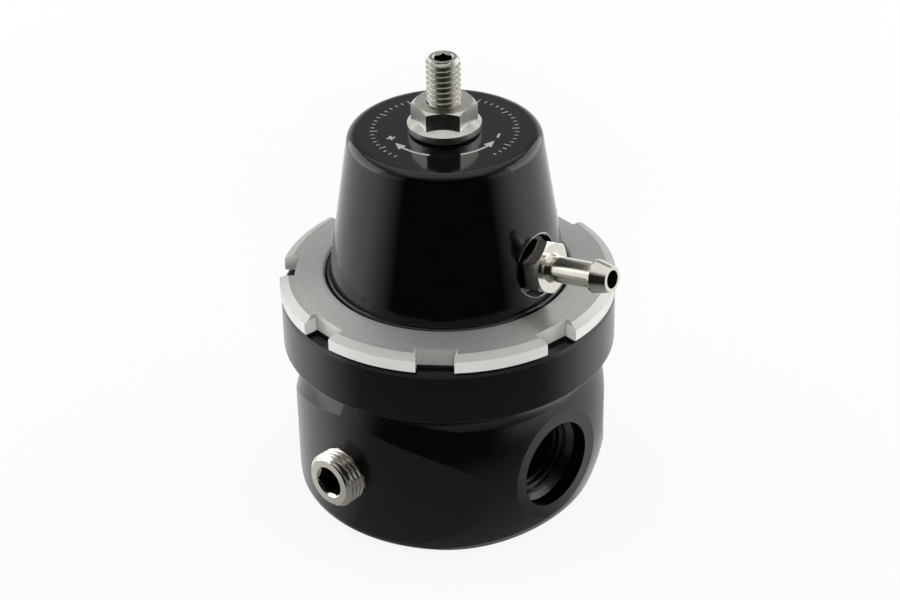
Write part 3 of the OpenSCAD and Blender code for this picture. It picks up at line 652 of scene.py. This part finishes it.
def paintedReflectionCard():  # lies and stands on the camera's side, and shows only in the gloss of the object, as a painted reflection of shade
    mesh = bmesh.new()
    inwards = mesh.verts.layers.float.new("edge")  # 0 at the card's sides and 1 along its middle
    steps = cardSpec["steps"]
    rows = []
    for i in range(2 * steps + 1):
        climb = max(i / steps - 1, 0)
        reach = cardSpec["near"] + (cardSpec["far"] - cardSpec["near"]) * min(i / steps, 1)
        azimuths = [cardHalf(reach) * (2 * j / steps - 1) for j in range(steps + 1)]
        rows.append(ringLoop(mesh, [facing(a, cardSpec["high"] * climb) * reach + up * cardSpec["lift"]
                                    for a in azimuths]))
    for row in rows:
        for j, vert in enumerate(row):
            vert[inwards] = 1 - abs(2 * j / steps - 1)
    for first, second in zip(rows, rows[1:]):
        for j in range(steps):
            mesh.faces.new((first[j], first[j + 1], second[j + 1], second[j]))
    # Painted reflection: the card glows, brightest next to the object and dark further out, standing in for
    # a dim floor and a dark room; its sides fade out, so that no hard line shows in the gloss
    finish, tree = emptyFinish("glowing card, painted reflection of shade")
    place = addNode(tree, "TexCoord").outputs["Object"]
    reach = addNode(tree, "VectorMath", links={"Vector": place}, operation="LENGTH")
    level = addNode(tree, "MapRange", {"From Min": cardSpec["near"], "From Max": cardSpec["fade"],
                                       "To Min": cardSpec["nearGlow"], "To Max": cardSpec["farGlow"]},
                    {"Value": reach.outputs["Value"]})
    dim = addNode(tree, "Emission", links={"Strength": level.outputs["Result"]})
    edge = addNode(tree, "Attribute", attribute_name="edge")
    cover = addNode(tree, "MapRange", {"From Max": cardSpec["soft"] / cardSpec["standHalf"]},
                    {"Value": edge.outputs["Fac"]})
    clear = addNode(tree, "BsdfTransparent")
    mixed = addNode(tree, "MixShader", links={0: cover.outputs["Result"], 1: clear.outputs["BSDF"],
                                              2: dim.outputs["Emission"]})
    addNode(tree, "OutputMaterial", links={"Surface": mixed.outputs["Shader"]})
    card = newPiece("paintedReflectionSheet", mesh, finish)
    card.rotation_euler.z = math.radians(viewSpec["azimuth"])
    card.visible_camera = False
    card.visible_shadow = False
    card.visible_diffuse = False


worldSpec = {"fill": 0.4, "ceiling": 0.33, "wallTop": 10, "ceilingFrom": 27}


def studioWorld():  # white to the camera, white walls under a dimmer ceiling in the gloss, a low fill
    world = bpy.data.worlds.new("white room")
    bpy.context.scene.world = world
    world.use_nodes = True
    tree = world.node_tree
    place = addNode(tree, "TexCoord").outputs["Generated"]
    height = addNode(tree, "SeparateXYZ", links={"Vector": place}).outputs["Z"]
    wallTop, ceilingFrom = [math.sin(math.radians(worldSpec[name])) for name in ("wallTop", "ceilingFrom")]
    walls = addNode(tree, "MapRange", {"From Min": wallTop, "From Max": ceilingFrom, "To Min": 1.0,
                                       "To Max": worldSpec["ceiling"]}, {"Value": height})
    path = addNode(tree, "LightPath")
    filled = addNode(tree, "Mix", {2: worldSpec["fill"]},
                     {0: mirrorRays(tree, path), 3: walls.outputs["Result"]})
    level = addNode(tree, "Mix", {3: 1.0}, {0: path.outputs["Is Camera Ray"], 2: filled.outputs[0]})
    room = tree.nodes["Background"]
    room.inputs["Color"].default_value = (1, 1, 1, 1)
    tree.links.new(level.outputs[0], room.inputs["Strength"])


# Azimuths are degrees round from the camera; a wall stands on the floor, and a panel hangs
wallSpec = {"width": 0.40, "height": 0.30, "distance": 0.30, "elevation": 0, "power": 0.5}
lampSpecs = {
    "leftWall": {**wallSpec, "azimuth": -108},
    "rightWall": {**wallSpec, "azimuth": 108},
    "topPanel": {"width": 0.70, "height": 0.70, "distance": 0.55, "azimuth": 180, "elevation": 82,
                 "power": 0.95},
    "frontPanel": {"width": 0.26, "height": 0.26, "distance": 0.70, "azimuth": 0, "elevation": 10,
                   "power": 4.3},
}


def softLamp(name, spec):
    lamp = bpy.data.lights.new(name, "AREA")
    lamp.shape = "RECTANGLE"
    lamp.size, lamp.size_y = spec["width"], spec["height"]
    lamp.energy = spec["power"]
    holder = bpy.data.objects.new(name, lamp)
    bpy.context.scene.collection.objects.link(holder)
    towards = facing(viewSpec["azimuth"] + spec["azimuth"], spec["elevation"])
    holder.location = towards * spec["distance"]
    if spec["elevation"] == 0:
        holder.location.z += spec["height"] / 2
    holder.rotation_mode = "QUATERNION"
    holder.rotation_quaternion = towards.to_track_quat("Z", "Y")
    holder.visible_camera = False
    return holder


paleFloor()
paintedReflectionCard()
studioWorld()
lamps = {name: softLamp(name, spec) for name, spec in lampSpecs.items()}
lamps["frontPanel"].visible_glossy = False  # it lights matt surfaces, and no gloss shows it
print("studio: floor, card and %d lamps set" % len(lamps))


# Camera, above and in front of the side port and the gauge plug

def photoCamera():
    data = bpy.data.cameras.new("camera")
    data.sensor_width = viewSpec["sensor"]
    data.lens = viewSpec["focal"]
    data.shift_x, data.shift_y = viewSpec["shift"]
    data.clip_start, data.clip_end = viewSpec["clip"]
    camera = bpy.data.objects.new("camera", data)
    bpy.context.scene.collection.objects.link(camera)
    away = facing(viewSpec["azimuth"], viewSpec["elevation"])
    camera.location = away * viewSpec["distance"] * mm + up * viewSpec["target"] * mm
    camera.rotation_mode = "QUATERNION"
    level = (-away).to_track_quat("-Z", "Y").to_matrix().to_4x4()
    rolled = level @ Matrix.Rotation(math.radians(viewSpec["roll"]), 4, "Z")
    camera.rotation_quaternion = rolled.to_quaternion()
    bpy.context.scene.camera = camera


photoCamera()
bpy.context.scene.view_settings.view_transform = "Standard"
print("camera: set")
